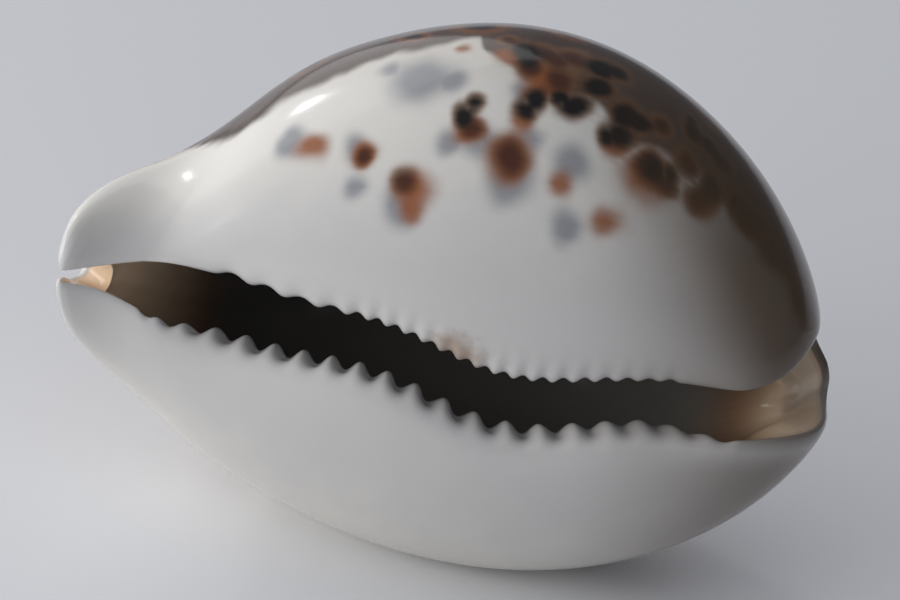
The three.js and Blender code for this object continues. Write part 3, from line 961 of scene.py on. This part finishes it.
class EnamelMaterial:
    """Glossy enamel with the markings that the vertices carry, softened by noise, with painted shade towards
    the posterior end and painted light and shade inside the aperture.
    """

    def __init__(self, finish: EnamelFinish):
        self.finish = finish
        self.material = bpy.data.materials.new("Enamel")
        self.material.use_nodes = True
        self.material.node_tree.nodes.clear()
        self.b = NodeBuilder(self.material.node_tree)
        self._build()

    def value(self, field_name: Field) -> bpy.types.NodeSocket:
        """Returns a vertex field."""
        return self.b.add("ShaderNodeAttribute", {"attribute_name": field_name.value}).outputs["Fac"]

    def noise(self, scale: float, detail: float) -> bpy.types.NodeSocket:
        """Returns noise on the object's own coordinates, about 0.5."""
        place = self.b.add("ShaderNodeTexCoord").outputs["Object"]
        return self.b.add("ShaderNodeTexNoise", Vector=place, Scale=scale, Detail=detail).outputs["Fac"]

    def step(self, value: object, low: float, high: float, top: float = 1.0) -> bpy.types.NodeSocket:
        """Returns a soft step from 0 at low to top at high."""
        node = self.b.add("ShaderNodeMapRange", {"interpolation_type": "SMOOTHSTEP"}, Value=value,
                          From_Min=low, From_Max=high, To_Max=top)
        return node.outputs[0]

    def over(self, under: object, upper: object, share: object) -> bpy.types.NodeSocket:
        """Returns a colour laid over another by a share; each colour is a tone or a socket."""
        under, upper = (c.rgba if isinstance(c, Tone) else c for c in (under, upper))
        return self.b.add("ShaderNodeMix", {"data_type": "RGBA"}, i0=share, i6=under, i7=upper).outputs[2]

    def _build(self) -> None:
        """Adds the nodes."""
        b, f = self.b, self.finish
        row = self.value(Field.ROW)
        fine, broad = self.noise(900, 4), self.noise(160, 3)

        def rough(source: object, amount: float, noise: object) -> bpy.types.NodeSocket:
            return b.math("ADD", source, b.math("MULTIPLY", b.math("SUBTRACT", noise, 0.5), amount))

        colour = self.over(f.ground, f.base, self.step(row, 4.2, 6.6))
        colour = self.over(colour, f.callus, self.step(rough(row, 1.2, broad), 7.2, 8.6, 0.45))
        for layer in f.markings:
            mark = self.value(layer.fields[0])
            for other in layer.fields[1:]:
                mark = b.math("MAXIMUM", mark, self.value(other))
            share = self.step(rough(mark, layer.fray, broad), layer.low, layer.high, layer.share)
            colour = self.over(colour, layer.tone, share)
        # Painted shade over the posterior end.
        colour = self.over(colour, f.tint, b.math("MULTIPLY", self.value(Field.TINT), 0.92))
        stain = b.math("MULTIPLY", self.value(Field.STAIN), self.step(row, 8.4, 9.3))
        colour = self.over(colour, f.stain, self.step(rough(stain, 0.6, fine), 0.30, 0.95, 0.6))
        # Painted light: the lip's inner edge takes some of the bright canal beige, most of it at the ends.
        ends = self.value(Field.AMBER)
        painted_light_share = b.math("ADD", 0.2, b.math("MULTIPLY", ends, 0.7))
        edge = b.math("MULTIPLY", self.step(row, 10.6, 11.8), painted_light_share)
        colour = self.over(colour, f.canal, edge)
        # Painted light and shade inside the aperture: bright beige at the open tips, amber further in, dark
        # in the middle.
        within = self.step(row, 11.4, 12.8)
        inner = self.over(f.canal, f.amber, b.math("SUBTRACT", 1.0, self.value(Field.INNERMOST)))
        # Painted shade: away from the ends, the inside takes the dark hollow tone.
        inner = self.over(inner, f.hollow, b.math("SUBTRACT", 1.0, ends))
        colour = self.over(colour, inner, within)
        bump = b.add("ShaderNodeBump", Strength=0.03, Distance=0.0004, Height=fine)
        shader = b.add("ShaderNodeBsdfPrincipled", Base_Color=colour, Roughness=f.roughness,
                       Coat_Weight=f.coat, Coat_Roughness=0.04, IOR=f.ior, Normal=bump.outputs[0])
        b.add("ShaderNodeOutputMaterial", Surface=shader.outputs[0])


class ShellPiece:
    """The finished shell as one Blender object in the row frame."""

    def __init__(self, form: Form, detail: Detail, pattern: Pattern, finish: EnamelFinish):
        self.cowrie = Cowrie(form, detail)
        self.pattern = pattern
        self.material = EnamelMaterial(finish).material
        self.centre = Vector((0, 0, 0))

    def build(self, box: Tuple[Vector, Vector]) -> bpy.types.Object:
        """Builds the mesh with its fields, sinks the teeth's grooves and keeps it inside the box.

        Args:
            box: lowest and highest corner of the CAD solid, in metres.

        Returns:
            The shell.
        """
        u, x = self.cowrie.columns()
        points, rows = self.cowrie.smooth_rows(self.cowrie.control_rows(u))
        turns, grooves = self.cowrie.grooves(u, x, rows)
        count, around = points.shape[:2]
        inner = points[1:-1].reshape(-1, 3)
        poles = points[[0, -1]].mean(1)
        shell = np.concatenate([inner, poles])
        each = np.concatenate([np.repeat(rows[1:-1], around), rows[[0, -1]]])
        fields = self.pattern.fields(shell, each)
        fields[Field.ROW] = each
        fields[Field.TURNS] = np.concatenate([np.tile(turns, count - 2), [0, 0]])
        fields[Field.GROOVE] = np.concatenate([grooves[1:-1].reshape(-1), [0, 0]]) * MM
        world = resting(shell)
        low, high = world.min(0), world.max(0)
        shift = np.array([-(low[0] + high[0]) / 2, -(low[1] + high[1]) / 2,
                          -(low[2] + self.cowrie.form.flat_depth)])
        world = (world + shift) * MM
        self.centre = Vector(shift * MM)
        piece = self._object(world, self._faces(count - 2, around), fields)
        GrooveTree(self.material).apply(piece)
        margin = 1e-6
        coords = np.empty(len(piece.data.vertices) * 3)
        piece.data.vertices.foreach_get("co", coords)
        coords = np.clip(coords.reshape(-1, 3), np.array(box[0]) + margin, np.array(box[1]) - margin)
        piece.data.vertices.foreach_set("co", coords.reshape(-1))
        piece.data.update()
        log.info("shell has %d faces", len(piece.data.polygons))
        return piece

    @staticmethod
    def _faces(rings: int, around: int) -> Tuple[np.ndarray, np.ndarray]:
        """Returns the quads between the rings, and the triangles at the two poles."""
        grid = np.arange(rings * around).reshape(rings, around)
        a, b = grid[:-1], grid[1:]
        quads = np.stack([a, b, np.roll(b, -1, 1), np.roll(a, -1, 1)], -1).reshape(-1, 4)
        top, roof = rings * around, rings * around + 1
        first, last = grid[0], grid[-1]
        caps = np.concatenate([
            np.stack([np.full(around, top), first, np.roll(first, -1)], -1),
            np.stack([np.full(around, roof), np.roll(last, -1), last], -1),
        ])
        return quads, caps

    @staticmethod
    def _object(points: np.ndarray, faces: Tuple[np.ndarray, np.ndarray],
                fields: Dict[Field, np.ndarray]) -> bpy.types.Object:
        """Makes the object and stores its fields."""
        mesh = bpy.data.meshes.new("Shell")
        mesh.from_pydata(points.tolist(), [], faces[0].tolist() + faces[1].tolist())
        for name, values in fields.items():
            store = mesh.attributes.new(name.value, "FLOAT", "POINT")
            store.data.foreach_set("value", np.asarray(values, dtype=np.float32))
        mesh.update()
        piece = bpy.data.objects.new("Shell", mesh)
        bpy.context.scene.collection.objects.link(piece)
        return piece


@dataclass(frozen=True)
class Lamp:
    """A rectangular light: its place, size in metres, power, colour, and whether the gloss mirrors it."""

    name: str
    place: Tuple[float, float, float]
    size: Tuple[float, float]
    power: float
    colour: Tuple[float, float, float] = (1.0, 1.0, 1.0)
    mirrored: bool = True

    def add(self, target: Vector) -> None:
        """Adds the light."""
        data = bpy.data.lights.new(self.name, "AREA")
        data.shape, data.size, data.size_y = "RECTANGLE", *self.size
        data.energy, data.color = self.power, self.colour
        lamp = bpy.data.objects.new(self.name, data)
        lamp.location = self.place
        lamp.visible_glossy = self.mirrored
        lamp.rotation_euler = (target - lamp.location).to_track_quat("-Z", "Y").to_euler()
        bpy.context.scene.collection.objects.link(lamp)


@dataclass(frozen=True)
class Studio:
    """Pale floor and soft light."""

    floor_size: float = 6.0
    floor: Tone = Tone(0.93, 0.93, 0.935)
    sky: Tone = Tone(0.80, 0.84, 0.95)
    sky_strength: Tuple[float, float] = (0.08, 0.44)
    sky_side: Tuple[float, float, float] = (-0.85, -0.3, 0.4)
    lamps: Tuple[Lamp, ...] = (
        Lamp("Window", (-0.81, 0.81, 0.66), (1.60, 1.27), 5.9),
        Lamp("Bulb", (-0.74, 0.62, 0.57), (0.12, 0.12), 0.6),
        Lamp("Left wall", (-1.10, -0.25, 0.22), (0.90, 0.50), 5.4),
        Lamp("Near left", (-0.26, -0.26, 0.16), (0.20, 0.16), 0.34, mirrored=False),
    )

    def build(self, target: Vector) -> None:
        """Adds the floor, the sky and the lamps."""
        half = self.floor_size / 2
        corners = [(-half, -half, 0), (half, -half, 0), (half, half, 0), (-half, half, 0)]
        mesh = bpy.data.meshes.new("Floor")
        mesh.from_pydata(corners, [], [(0, 1, 2, 3)])
        material = bpy.data.materials.new("Floor")
        material.use_nodes = True
        shader = material.node_tree.nodes["Principled BSDF"]
        shader.inputs["Base Color"].default_value = self.floor.rgba
        shader.inputs["Roughness"].default_value = 0.9
        shader.inputs["Specular IOR Level"].default_value = 0.1
        mesh.materials.append(material)
        floor = bpy.data.objects.new("Floor", mesh)
        bpy.context.scene.collection.objects.link(floor)
        floor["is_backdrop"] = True
        world = bpy.data.worlds.new("Sky")
        world.use_nodes = True
        sky = world.node_tree.nodes["Background"]
        sky.inputs["Color"].default_value = self.sky.rgba
        b = NodeBuilder(world.node_tree)
        way = b.add("ShaderNodeTexCoord").outputs["Generated"]
        side = b.add("ShaderNodeVectorMath", {"operation": "DOT_PRODUCT"}, i0=way, i1=self.sky_side)
        glow = b.add("ShaderNodeMapRange", {"interpolation_type": "SMOOTHSTEP"}, Value=side.outputs["Value"],
                     From_Min=-1.0, From_Max=1.0, To_Min=self.sky_strength[0], To_Max=self.sky_strength[1])
        world.node_tree.links.new(glow.outputs[0], sky.inputs["Strength"])
        bpy.context.scene.world = world
        for lamp in self.lamps:
            lamp.add(target)


@dataclass
class Scene:
    """Everything in the picture."""

    form: Form = field(default_factory=Form)
    detail: Detail = field(default_factory=Detail)
    pattern: Pattern = field(default_factory=Pattern)
    finish: EnamelFinish = field(default_factory=EnamelFinish)
    view_point: ViewPoint = field(default_factory=ViewPoint)
    studio: Studio = field(default_factory=Studio)

    def build(self, box: Tuple[Vector, Vector]) -> None:
        """Builds the shell, the camera and the studio.

        Args:
            box: the CAD box, lowest and highest corner.
        """
        shell = ShellPiece(self.form, self.detail, self.pattern, self.finish)
        piece = shell.build(box)
        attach(piece, "root")
        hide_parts(NODE)
        self.view_point.place(shell.centre)
        self.studio.build(shell.centre)
        bpy.context.scene.view_settings.view_transform = "Standard"


def main() -> None:
    """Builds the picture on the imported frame."""
    logging.basicConfig(level=logging.INFO)
    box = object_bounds()
    Scene().build(box)


if __name__ == "__main__":
    main()
